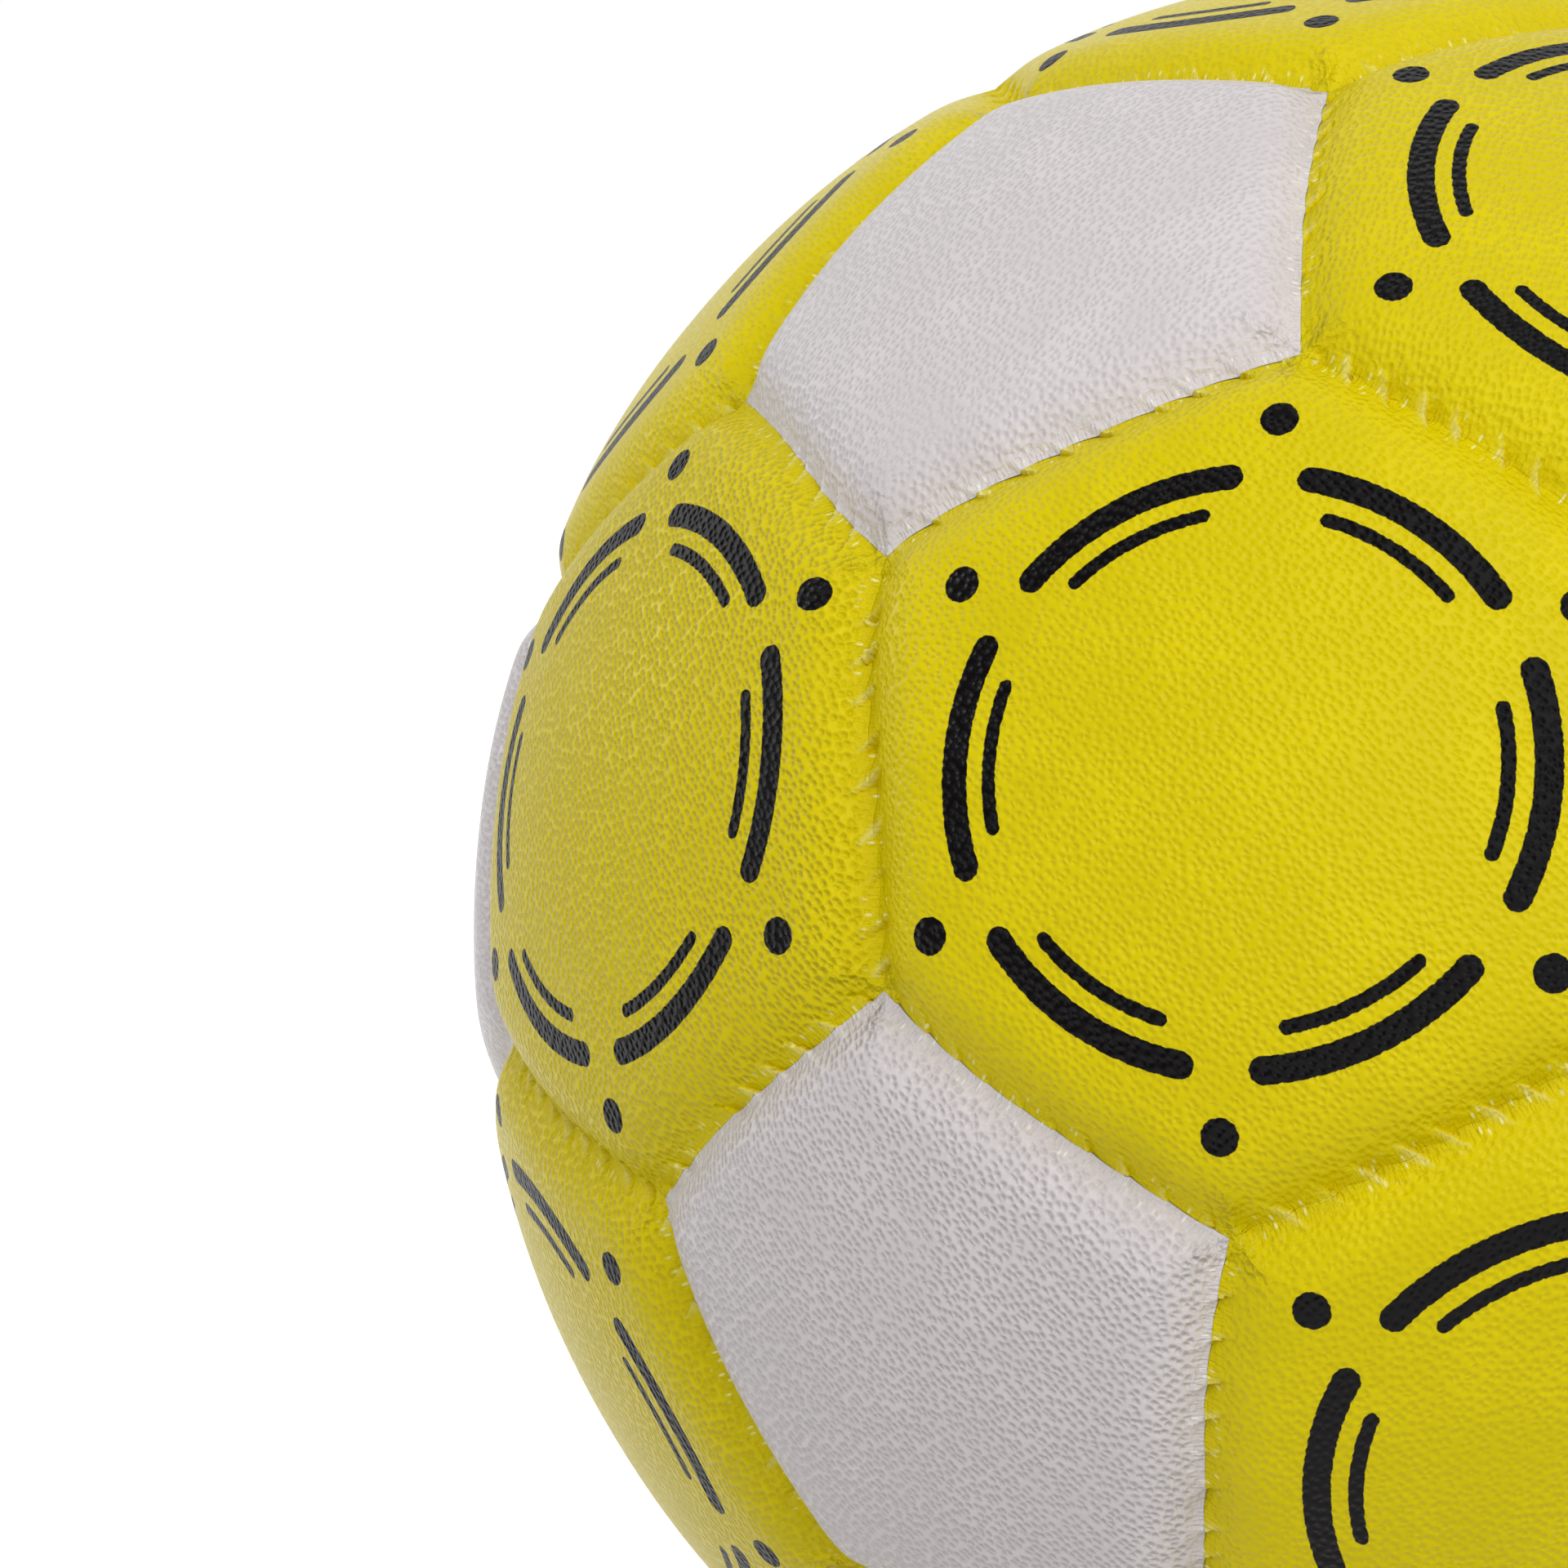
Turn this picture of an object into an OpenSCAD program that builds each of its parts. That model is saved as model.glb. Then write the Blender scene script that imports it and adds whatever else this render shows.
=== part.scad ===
// Hand-stitched handball: 20 hexagon and 12 pentagon panels around a bladder with a needle valve.
// Origin at the ball's centre, +Z out through the valve, -Y towards the top pentagon of the front.

/* [Ball] */
// Girth of the blown-up ball around its crowns
ball_circumference = 590; // [480:5:620]
// Depth of a seam's bottom below the crowns
seam_depth = 3.4; // [2.6:0.1:3.6]
// Radius with which a panel rolls over into its seam
edge_round = 5; // [4.5:0.5:6.5]
// Height by which that round would rise past the crown, so that the two meet at a shallow angle
edge_rise = 0.15; // [0.1:0.05:0.3]
// Gap between the two turned-in edges of a seam
seam_gap = 0.2; // [0.1:0.05:0.4]

/* [Layers] */
// Thickness of the grained outer skin
skin_thickness = 1.2; // [0.8:0.1:1.6]
// Thickness of the foam under the skin's crown
foam_thickness = 3; // [2.6:0.1:3.6]
// Thickness of the woven lining
lining_thickness = 1.2; // [0.8:0.1:1.6]
// Thickness of the glue between two layers
glue_film = 0.1; // [0.05:0.05:0.2]

/* [Thread] */
// Thickness of the sewing thread
thread_d = 0.9; // [0.6:0.1:1.2]
// Gap between the thread and the edges that it holds
thread_clearance = 0.1; // [0.05:0.05:0.2]
// Gap between a seam's thread and the corner where three seams meet
thread_corner_gap = 1.2; // [1:0.1:2]

/* [Bladder] */
// Thickness of the bladder's wall
bladder_wall = 1; // [0.7:0.1:1.5]
// Gap between the bladder and the linings
bladder_clearance = 0.2; // [0.1:0.05:0.4]

/* [Valve] */
// Hole for the inflation needle
needle_hole_d = 2.2; // [2:0.1:2.4]
// Depth of the needle hole down to the slit
needle_hole_depth = 5; // [4:0.5:8]
// Lead-in around the mouth of the needle hole
needle_lead_in = 0.4; // [0.2:0.1:0.6]
// Width of the slit that seals itself
slit_w = 2.4; // [1.6:0.1:3]
// Gap between the two faces of the slit
slit_gap = 0.1; // [0.05:0.05:0.2]
// Stem of the valve core
core_d = 4.5; // [4:0.1:5]
// Length of the valve core
core_length = 13; // [11:0.5:16]
// Head of the valve core
core_head_d = 6; // [5.6:0.1:6.6]
// Thickness of the core's head
core_head_thickness = 0.9; // [0.6:0.1:1.4]
// Gap around the valve core in its boot
core_clearance = 0.05; // [0.02:0.01:0.1]
// Wall of the boot around the core's head
boot_wall = 0.7; // [0.5:0.1:1.2]
// Rubber left under the core in the boot
boot_floor = 2; // [1.5:0.1:3]
// Passage for the air through that rubber
boot_passage_d = 3; // [2.6:0.1:3.4]
// Width of the flange that is bonded into the bladder
boot_flange_d = 26; // [18:1:34]
// Thickness of that flange
boot_flange_thickness = 1.5; // [1:0.1:2.5]
// Depth of the valve's mouth below the crown
valve_recess = 0.4; // [0.2:0.1:1]
// Gap between the boot and the holes that it passes through
boot_clearance = 0.2; // [0.1:0.05:0.3]

/* [Hidden] */
$fn = 96;
// The node to draw, or all of them

// Panels of a ball that is sewn from hexagons and pentagons
hexagon_count = 20;
pentagon_count = 12;
// A numbered name for each of many like pieces
function numbered(name, count) = [for (i = [1:count]) str(name, i < 10 ? "_0" : "_", i)];
HEXAGON_NODES = concat(["valve_panel"], numbered("hexagon_panel", hexagon_count - 1));
PENTAGON_NODES = numbered("pentagon_panel", pentagon_count);

// Colours of the layers
panel_yellow = [0.83, 0.76, 0.02];
panel_white = [0.82, 0.8, 0.8];
foam_cream = [0.9, 0.87, 0.78];
lining_grey = [0.72, 0.72, 0.7];
thread_white = [0.86, 0.86, 0.84];
rubber_black = [0.07, 0.07, 0.07];
rubber_grey = [0.3, 0.3, 0.3];

// Radii of the layers, from the crown inwards
crown_r = ball_circumference / (2 * PI);
foam_r = crown_r - skin_thickness - glue_film;
lining_r = foam_r - foam_thickness - glue_film;
lining_inner_r = lining_r - lining_thickness;
thread_r = lining_inner_r + thread_d / 2;
turned_edge_r = lining_inner_r + thread_d + thread_clearance;
bladder_r = lining_inner_r - bladder_clearance;
boot_flange_r = bladder_r - bladder_wall - glue_film;

// Centre of the round edge: x from the ball's centre, y from the plane of the seam
roll_y = seam_gap / 2 + sqrt(pow(edge_round, 2) - pow(edge_round - seam_depth, 2));
roll_x = sqrt(pow(crown_r - edge_round + edge_rise, 2) - pow(roll_y, 2));

// Heights along the valve's axis
mouth_z = crown_r - valve_recess;
core_end_z = mouth_z - core_length;
boot_end_z = core_end_z - core_clearance - boot_floor;
boot_d = core_head_d + 2 * (core_clearance + boot_wall);
valve_hole_d = boot_d + 2 * boot_clearance;

// Reach of a cutting block past whatever it cuts
reach = 2 * crown_r;

// Angles between the centres of panels that share a seam, and of an edge seen from the ball's centre
hexagon_turn = acos(sqrt(5) / 3);
pentagon_turn = acos(1 / sqrt(5));
edge_angle = 2 * asin(2 / sqrt(58 + 18 * sqrt(5)));
hexagon_lean = hexagon_turn / 2;
upper_lean = acos(sqrt((5 + 2 * sqrt(5)) / 15));
middle_lean = acos(sqrt((5 - 2 * sqrt(5)) / 15));
pentagon_lean = upper_lean - hexagon_lean;
// A round edge's cutter runs past both corners of its panel
edge_overrun_share = 1.3;
// Two directions are neighbours when their cosine is this near to the expected one
cosine_tolerance_share = 0.01;
// Turns about the valve's axis: the first pentagon of two rings, that of the other two, and a step
front_angle = 270;
side_angle = 330;
step_angle = 120;
straight_angle = 180;

// Directions of the pentagons, in rings of three around the valve's axis, from the top down:
// each ring's lean from that axis and its first pentagon's turn about it
RINGS = [[upper_lean, front_angle], [middle_lean, side_angle],
    [straight_angle - middle_lean, front_angle], [straight_angle - upper_lean, side_angle]];
PENTAGONS = [for (ring = RINGS, k = [0:2]) direction(ring[0], ring[1] + k * step_angle)];
// Directions of the hexagons: the middle of each three pentagons that are one another's neighbours
HEXAGONS = [for (i = [0:pentagon_count - 3], j = [i + 1:pentagon_count - 2], k = [j + 1:pentagon_count - 1])
    if (next_to(PENTAGONS[i], PENTAGONS[j], pentagon_turn)
        && next_to(PENTAGONS[j], PENTAGONS[k], pentagon_turn)
        && next_to(PENTAGONS[i], PENTAGONS[k], pentagon_turn))
        unit(PENTAGONS[i] + PENTAGONS[j] + PENTAGONS[k])];

function direction(lean, turn) = [sin(lean) * cos(turn), sin(lean) * sin(turn), cos(lean)];
function unit(v) = v / norm(v);
function next_to(a, b, angle) = abs(a * b - cos(angle)) < cosine_tolerance_share;
function lean_of(d) = acos(d.z);
function turn_of(d) = atan2(d.y, d.x);
// Turn about a panel's own axis that brings its first edge to face the direction q
function spin_to(d, q) = atan2(q * [-sin(turn_of(d)), cos(turn_of(d)), 0],
    q * [cos(lean_of(d)) * cos(turn_of(d)), cos(lean_of(d)) * sin(turn_of(d)), -sin(lean_of(d))]);
// The first of a list of directions that shares a seam with d
function neighbour(d, list, angle) = [for (q = list) if (next_to(d, q, angle)) q][0];

// Puts a panel that is drawn around +Z in its place on the ball
module on_ball(d, q) {
    rotate([0, lean_of(d), turn_of(d)])
        rotate([0, 0, spin_to(d, q)])
            children();
}

module on_hexagon(i) {
    on_ball(HEXAGONS[i], neighbour(HEXAGONS[i], PENTAGONS, upper_lean)) children();
}

module on_pentagon(i) {
    on_ball(PENTAGONS[i], neighbour(PENTAGONS[i], HEXAGONS, upper_lean)) children();
}

// Turns something drawn in the plane of a seam, around +X, to one edge of a panel drawn around +Z
module at_edge(k, sides, lean) {
    rotate([0, 0, k * 360 / sides])
        rotate([0, lean - 90, 0])
            children();
}

// What lies past the plane of a seam, drawn back by the depth of a layer
module past_seam(depth) {
    translate([-reach, -reach, seam_gap / 2 + depth - reach])
        cube([2 * reach, 2 * reach, reach]);
}

// What lies outside the round edge of a layer
module past_round_edge(depth) {
    rotate([0, 0, -edge_angle * edge_overrun_share / 2])
        rotate_extrude(angle = edge_angle * edge_overrun_share)
            difference() {
                translate([roll_x, 0])
                    square([reach, roll_y]);
                translate([roll_x, roll_y])
                    circle(r = edge_round - depth);
            }
}

// A sector of the ball under one panel, with its edges rolled over, at a depth below the skin
module puffed_sector(sides, lean, depth) {
    difference() {
        sphere(r = crown_r - depth);
        for (k = [0:sides - 1])
            at_edge(k, sides, lean) {
                past_seam(depth);
                past_round_edge(depth);
            }
    }
}

// The skin of one panel: a crowned cover whose edges turn down into the seams
module skin(sides, lean) {
    difference() {
        puffed_sector(sides, lean, 0);
        puffed_sector(sides, lean, skin_thickness);
        sphere(r = turned_edge_r);
    }
}

// The foam that fills a skin
module foam_pad(sides, lean) {
    difference() {
        puffed_sector(sides, lean, skin_thickness + glue_film);
        sphere(r = foam_r - foam_thickness);
    }
}

// The lining under a foam pad
module lining(sides, lean) {
    difference() {
        sphere(r = lining_r);
        sphere(r = lining_inner_r);
        for (k = [0:sides - 1])
            at_edge(k, sides, lean)
                past_seam(skin_thickness + glue_film);
    }
}

// A round bar along the valve's axis, between two heights
module bar(d, from_z, to_z) {
    translate([0, 0, from_z])
        cylinder(d = d, h = to_z - from_z);
}

// The hole that the valve's boot passes through
module valve_hole(d) {
    bar(d, 0, reach);
}

module hexagon_panel(i) {
    color(panel_yellow)
        on_hexagon(i)
            difference() {
                skin(6, hexagon_lean);
                if (i == 0) valve_hole(valve_hole_d);
            }
}

module pentagon_panel(i) {
    color(panel_white)
        on_pentagon(i)
            skin(5, pentagon_lean);
}

module hexagon_foam_pads() {
    color(foam_cream)
        for (i = [0:hexagon_count - 1])
            on_hexagon(i)
                difference() {
                    foam_pad(6, hexagon_lean);
                    if (i == 0) valve_hole(valve_hole_d);
                }
}

module pentagon_foam_pads() {
    color(foam_cream)
        for (i = [0:pentagon_count - 1])
            on_pentagon(i)
                foam_pad(5, pentagon_lean);
}

module hexagon_linings() {
    color(lining_grey)
        for (i = [0:hexagon_count - 1])
            on_hexagon(i)
                difference() {
                    lining(6, hexagon_lean);
                    if (i == 0) valve_hole(valve_hole_d);
                }
}

module pentagon_linings() {
    color(lining_grey)
        for (i = [0:pentagon_count - 1])
            on_pentagon(i)
                lining(5, pentagon_lean);
}

// One seam's length of thread, along +Y through +X, short of both corners
module thread_length() {
    arc = edge_angle - 2 * thread_corner_gap / thread_r * 180 / PI;
    rotate([0, 0, -arc / 2])
        rotate_extrude(angle = arc)
            translate([thread_r, 0])
                circle(d = thread_d);
}

// Thread under every seam: round each pentagon, and between each two hexagons
module seam_thread() {
    color(thread_white) {
        for (i = [0:pentagon_count - 1])
            on_pentagon(i)
                for (k = [0:4])
                    at_edge(k, 5, pentagon_lean)
                        thread_length();
        for (i = [0:hexagon_count - 2], j = [i + 1:hexagon_count - 1])
            if (next_to(HEXAGONS[i], HEXAGONS[j], hexagon_turn))
                on_ball(HEXAGONS[i], HEXAGONS[j])
                    at_edge(0, 6, hexagon_lean)
                        thread_length();
    }
}

module bladder() {
    color(rubber_black)
        difference() {
            sphere(r = bladder_r);
            sphere(r = bladder_r - bladder_wall);
            valve_hole(boot_d + 2 * glue_film);
        }
}

module valve_boot() {
    color(rubber_grey)
        difference() {
            union() {
                bar(boot_d, boot_end_z, mouth_z);
                intersection() {
                    difference() {
                        sphere(r = boot_flange_r);
                        sphere(r = boot_flange_r - boot_flange_thickness);
                    }
                    bar(boot_flange_d, 0, reach);
                }
            }
            bar(boot_passage_d, 0, mouth_z);
            bar(core_d + 2 * core_clearance, core_end_z - core_clearance, reach);
            bar(core_head_d + 2 * core_clearance, mouth_z - core_head_thickness - core_clearance, reach);
        }
}

module valve_core() {
    needle_stop_z = mouth_z - needle_hole_depth;
    color(rubber_black)
        difference() {
            union() {
                bar(core_d, core_end_z, mouth_z);
                bar(core_head_d, mouth_z - core_head_thickness, mouth_z);
            }
            bar(needle_hole_d, needle_stop_z, reach);
            translate([0, 0, mouth_z - needle_lead_in])
                cylinder(d1 = needle_hole_d, d2 = needle_hole_d + 4 * needle_lead_in, h = 2 * needle_lead_in);
            translate([-slit_w / 2, -slit_gap / 2, 0])
                cube([slit_w, slit_gap, needle_stop_z + slit_gap]);
        }
}

for (i = [0:hexagon_count - 1])
    hexagon_panel(i);
for (i = [0:pentagon_count - 1])
    pentagon_panel(i);
hexagon_foam_pads();
pentagon_foam_pads();
hexagon_linings();
pentagon_linings();
seam_thread();
bladder();
valve_boot();
valve_core();
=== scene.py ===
"""Looks of the hand-stitched handball: grained panels sewn together, the yellow ones with printed rings."""

import itertools
import math

import bpy
import numpy as np
from mathutils import Euler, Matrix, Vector

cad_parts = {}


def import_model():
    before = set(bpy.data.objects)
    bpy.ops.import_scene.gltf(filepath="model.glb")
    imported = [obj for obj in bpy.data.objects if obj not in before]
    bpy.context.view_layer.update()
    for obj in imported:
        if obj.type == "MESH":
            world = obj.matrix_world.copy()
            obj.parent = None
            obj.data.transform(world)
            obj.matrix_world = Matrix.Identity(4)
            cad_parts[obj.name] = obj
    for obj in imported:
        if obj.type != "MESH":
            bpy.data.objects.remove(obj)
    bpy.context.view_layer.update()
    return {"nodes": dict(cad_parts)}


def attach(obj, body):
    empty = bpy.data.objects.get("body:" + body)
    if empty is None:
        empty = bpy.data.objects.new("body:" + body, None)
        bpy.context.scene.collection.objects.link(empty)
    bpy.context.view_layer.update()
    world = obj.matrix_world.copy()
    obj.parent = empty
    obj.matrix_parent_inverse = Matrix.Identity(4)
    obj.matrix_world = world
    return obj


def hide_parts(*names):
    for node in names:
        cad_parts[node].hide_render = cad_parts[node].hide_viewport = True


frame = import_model()

# Lengths below are in millimetres and angles in degrees, unless a name says otherwise
MM = 0.001

# The ball and its skins
CROWN_RADIUS = max(vertex.co.length for vertex in frame["nodes"]["hexagon_panel_01"].data.vertices) / MM
SKIN = 1.2
TURNED_EDGE = 0.9
HALF_SEAM_GAP = 0.004
GLUE = 0.1
FOAM = 3.0
LINING = 1.2
FOAM_BOTTOM_RADIUS = CROWN_RADIUS - SKIN - GLUE - FOAM
LINING_RADIUS = FOAM_BOTTOM_RADIUS - GLUE
LINING_BOTTOM_RADIUS = LINING_RADIUS - LINING

# A panel's side rounds off down to a narrow foot beside the seam, and the seam itself is a fine groove.
# The puff is how much lower the panel's outer part lies than its middle
WALL_DEPTH = 2.8
WALL_WIDTH = 6.5
WALL_POWER = 2.3
FOOT = 0.8
GROOVE_DEPTH = 0.08
GROOVE_WIDTH = 0.3
PUFF = 0.3
PUFF_REACH = 7.0

# A lower web lies in each corner. Sides and webs join softly, and the sum stays less deep than a limit
WEB_DEPTH = 1.0
WEB_REACH = 9.0
JOIN_POWER = 2.5
DEEPEST = 3.4
DEEPEST_POWER = 6

# How much less deep the seams are in their middles, at random. One seam, between the two pentagons named
# here, has a share of its own, because the photograph shows it sewn less deep
SHALLOWNESS = 0.12
SHALLOW_SEAM = (0, 2)
SHALLOW_SHARE = 0.65

# Stitches along each seam, and the slanted folds that they pull into the feet of both panels
STITCHES = 10
STITCH_SCATTER = 0.08
STITCH_LEAN = 55
PULL_SCATTER = 0.45
PULL_RANGE = (0.3, 1.6)
FOLD_DEPTH = 0.5
FOLD_REACH = 1.35
FOLD_POWER = 1.6
FOLD_CREST = 0.45
FOLD_CREST_POWER = 4
# How tightly the painted highlight on a fold's crest keeps to the crest
CREST_HIGHLIGHT_POWER = 6
MIXED_FOLD_SHARE = 0.8
PENTAGON_FOLD_SHARE = 0.5
SWAY = 0.12
SCALLOP = 0.11
SWAY_REACH = 1.2
BOW = 0.2
BOW_REACH = 6.0
CORNER_FADE = 1.8
SHEAR_END = 3.0
SHEAR_ROOM = 2.5

# Low lumps of the whole ball, a sum of random waves that is kept within bounds
LUMP = 0.1
LUMP_WAVES = 9
LUMP_TURNS = 9
LUMP_SOFTNESS = 3
LUMP_SEED = 7

# The valve's hole, which the valve panel's points make room for
HOLE_RADIUS = 3.95
HOLE_BLEND = 12.0
HOLE_ROUND = 0.25
HOLE_STEPS = (0.02, 0.08, 0.16, 0.26, 0.6)

# Rings of points of a panel's mesh, from its middle outwards. Between the middle and the fine rings beside
# the seams, the points of a ring double twice, at shares of the way between them
MIDDLE_RINGS = 18
MIDDLE_END = 8.5
DOUBLED_SHARES = (0.3, 0.5)
DOUBLED_TWICE_SHARES = (0.7, 0.85)
FINE_END = 4.6
FINE_RINGS = 20
FINE_TIMES = 8
FINE_CROWDING = 1.6

# The skin's inner surface: distances of its rings from the seams, in skin thicknesses, and how much thicker a
# skin is when measured straight inwards, at its edge and elsewhere
INNER_DISTANCES = (1, 2, 4, 9, 16)
EDGE_THICKNESS = 1.6
SLOPE_THICKNESS = 1.2

# The layers below: points of a ring in each sector, where the rings lie, and the room below a sloping skin
LAYER_COUNT = 12
LAYER_MIDDLE_SHARES = (0.98, 0.8, 0.6, 0.4)
LAYER_RIM_TIMES = (6, 4, 3, 2.2, 1.6, 1.2, 1)
SLOPE_ROOM = 1.4

# Places beside the seams: how far apart the seams' marks start, and the strip in which one seam's marks fade
SEAM_SPACING = 100
BISECTOR_FADE = 1.5
FAR = 1000.0

# Angles in a mesh above this are sharp
SHARP_ANGLE = 70

# Each panel's place on the grained sheet that it was cut from, and the least share of the grain's full depth
GRAIN_SEED = 887
SHEET_RANGE = (100, 900)
SHALLOWEST_GRAIN = 0.35

# In the functions below, d holds unit directions from the ball's middle, one a row. t is how far along a
# seam a point is, from the seam's middle, and y how far it is from the seam. p is a panel


def unit(v):
    return v / np.linalg.norm(v)


def unit_rows(v):
    return v / np.linalg.norm(v, axis=1)[:, None]


def direction(lean, turn):
    lean, turn = math.radians(lean), math.radians(turn)
    return np.array([math.sin(lean) * math.cos(turn), math.sin(lean) * math.sin(turn), math.cos(lean)])


# Where the panels are: pentagons in rings of three around the valve's axis, from the top down
UPPER_LEAN = math.degrees(math.acos(math.sqrt((5 + 2 * math.sqrt(5)) / 15)))
MIDDLE_LEAN = math.degrees(math.acos(math.sqrt((5 - 2 * math.sqrt(5)) / 15)))
RINGS = ((UPPER_LEAN, 270), (MIDDLE_LEAN, 330), (180 - MIDDLE_LEAN, 270), (180 - UPPER_LEAN, 330))
PENTAGONS = [direction(lean, turn + 120 * k) for lean, turn in RINGS for k in range(3)]
PENTAGON_COSINE = 1 / math.sqrt(5)
COSINE_ROOM = 0.01

# A seam's middle is beside a pentagon when the cosine between their directions is above the first of these.
# Two directions are the same when it is above the second
BESIDE_COSINE = 0.9
SAME_COSINE = 0.999


def neighbours(a, b):
    return abs(a @ b - PENTAGON_COSINE) < COSINE_ROOM


def in_order(axis, corners):
    """The corners of a panel, anticlockwise as seen from outside."""
    first = unit(corners[0] - axis * (corners[0] @ axis))
    second = np.cross(axis, first)
    return sorted(corners, key=lambda c: math.atan2(c @ second, c @ first))


def panel(name, axis, corners):
    """A panel: its name, its axis, and for each of its edges the seam's frame as seen from it."""
    corners = in_order(axis, corners)
    edges = []
    for a, b in zip(corners, corners[1:] + corners[:1]):
        out, along = unit(a + b), unit(b - a)
        seam, sense = seam_of(a, b)
        inward = np.cross(out, along)
        edges.append({"out": out, "along": along, "inward": inward, "seam": seam, "sense": sense})
    return {"name": name, "axis": axis, "corners": corners, "edges": edges, "open": name == "valve_panel"}


# Seams by the rounded sum of their two corners, as the first of their two panels sees them
seams = {}
KEY_STEPS = 100


def seam_of(a, b):
    """The seam between two corners, and 1 for the panel that asks for it first or -1 for the other."""
    key = tuple(np.round((a + b) * KEY_STEPS).astype(int))
    if key in seams:
        return seams[key], -1
    draw = np.random.default_rng(len(seams))
    pitch = CROWN_RADIUS * np.arccos(a @ b) / STITCHES
    middles = (np.arange(STITCHES) - (STITCHES - 1) / 2) * pitch
    middle = unit(a + b)
    mixed = max(middle @ axis for axis in PENTAGONS) > BESIDE_COSINE
    shallow = middle @ unit(sum(PENTAGONS[i] for i in SHALLOW_SEAM)) > SAME_COSINE
    seams[key] = {
        "number": len(seams),
        "mixed": mixed,
        "places": middles + draw.normal(0, STITCH_SCATTER * pitch, STITCHES),
        "pulls": (1 + draw.normal(0, PULL_SCATTER, STITCHES)).clip(*PULL_RANGE),
        "bow": draw.normal(0, BOW, 2),
        "shallow": SHALLOW_SHARE if shallow else abs(draw.normal(0, SHALLOWNESS)),
        "length": STITCHES * pitch,
    }
    return seams[key], 1


def all_panels():
    """The hexagons in the order of their nodes, the valve's first, and then the pentagons."""
    triples = [
        triple for triple in itertools.combinations(range(len(PENTAGONS)), 3)
        if all(neighbours(PENTAGONS[i], PENTAGONS[j]) for i, j in itertools.combinations(triple, 2))
    ]
    made = []
    for number, triple in enumerate(triples):
        ends = [PENTAGONS[i] for i in triple]
        corners = [unit(2 * a + b) for a, b in itertools.permutations(ends, 2)]
        name = f"hexagon_panel_{number:02d}" if number else "valve_panel"
        made.append(panel(name, unit(sum(ends)), corners))
    for number, axis in enumerate(PENTAGONS, 1):
        corners = [unit(2 * axis + other) for other in PENTAGONS if neighbours(axis, other)]
        made.append(panel(f"pentagon_panel_{number:02d}", axis, corners))
    return made


# The camera, placed in metres. The sewing's offsets are measured to its right and upwards
CAMERA_PLACE = Vector((0.23785, -0.39547, 0.08502))
CAMERA_AZIMUTH = 38.62
CAMERA_ELEVATION = 7.75
CAMERA_ROLL = 7.40
CAMERA_LENS = 108.54
CAMERA_SENSOR = 36.0
CAMERA_NEAREST = 0.01


def camera_turn():
    turn = Euler((0, 0, math.radians(CAMERA_AZIMUTH))).to_matrix()
    tilt = Euler((math.radians(90 - CAMERA_ELEVATION), 0, 0)).to_matrix()
    roll = Euler((0, 0, -math.radians(CAMERA_ROLL))).to_matrix()
    return turn @ tilt @ roll


# Corners that the sewing pulled out of place: the pentagon they belong to, the one they point at, and how
# far to the right and up in the photograph
SEWN_OFF = (
    (0, 6, -2.4, 0.1),
    (6, 0, 0.8, -0.5),
    (0, 2, 1.9, 1.3),
    (0, 1, 0.0, -0.2),
    (6, 3, 0.1, -0.5),
    (6, 5, 0.0, 0.6),
    (5, 6, 0.1, -1.2),
    (5, 0, 1.0, 3.0),
)
SEWN_OFF_REACH = 17.0


def sewing_shift(d):
    """How far the sewing pulled the skin along the ball in the directions d."""
    right, up, back = (np.array(column) for column in camera_turn().col)
    shift = np.zeros_like(d)
    for own, other, rightwards, upwards in SEWN_OFF:
        corner = unit(2 * PENTAGONS[own] + PENTAGONS[other])
        pulled = right * rightwards + up * upwards
        pulled -= back * (pulled @ corner) / (back @ corner)
        reach = CROWN_RADIUS * np.arccos(np.clip(d @ corner, -1, 1)) / SEWN_OFF_REACH
        shift += np.outer(np.exp(-(reach**2)), pulled)
    return shift


# The shape of a panel's outer surface
def wall_drop(y):
    """How far the surface lies below the crown, at a distance y from a seam."""
    past_foot = np.hypot(y, FOOT) - FOOT
    wall = np.clip(1 - past_foot / WALL_WIDTH, 0, 1) ** WALL_POWER
    return WALL_DEPTH * wall + PUFF * np.exp(-np.maximum(y, 0) / PUFF_REACH)


def sewn_depth(t, seam):
    """The seam's depth beside its depth at its corners. It is least in the seam's middle."""
    return 1 - seam["shallow"] * np.cos(math.pi * np.clip(t / seam["length"], -0.5, 0.5)) ** 2


def web_drop(d, corner):
    """How far the web in a corner lies below the crown."""
    reach = CROWN_RADIUS * np.arccos(np.clip(d @ corner, -1, 1)) / WEB_REACH
    return WEB_DEPTH * np.clip(1 - reach**2, 0, 1) ** 2


def fold_place(t, y):
    """Where the slanted line through a point meets the seam."""
    return t + y / math.tan(math.radians(STITCH_LEAN))


def between_stitches(q, seam):
    """Share of the way from one stitch to the next, and the pull of the first of the two."""
    index = np.searchsorted(seam["places"], q)
    ends = np.array([-seam["length"] / 2, *seam["places"], seam["length"] / 2])
    share = (q - ends[index]) / (ends[index + 1] - ends[index])
    pulls = np.array([0, *seam["pulls"]])[index]
    return np.clip(share, 0, 1), pulls


def folds(t, y, seam, depth):
    """How far the folds lower the surface, and how near a point is to a fold's crest, from 0 to 1.

    A fold is low just past its stitch's slanted line, and rises to a crest before the next one."""
    share, pulls = between_stitches(fold_place(t, y), seam)
    strength = pulls * np.exp(-((y / FOLD_REACH) ** 2))
    drop = depth * strength * ((1 - share) ** FOLD_POWER - FOLD_CREST * share**FOLD_CREST_POWER)
    return drop, strength * share**CREST_HIGHLIGHT_POWER


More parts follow.
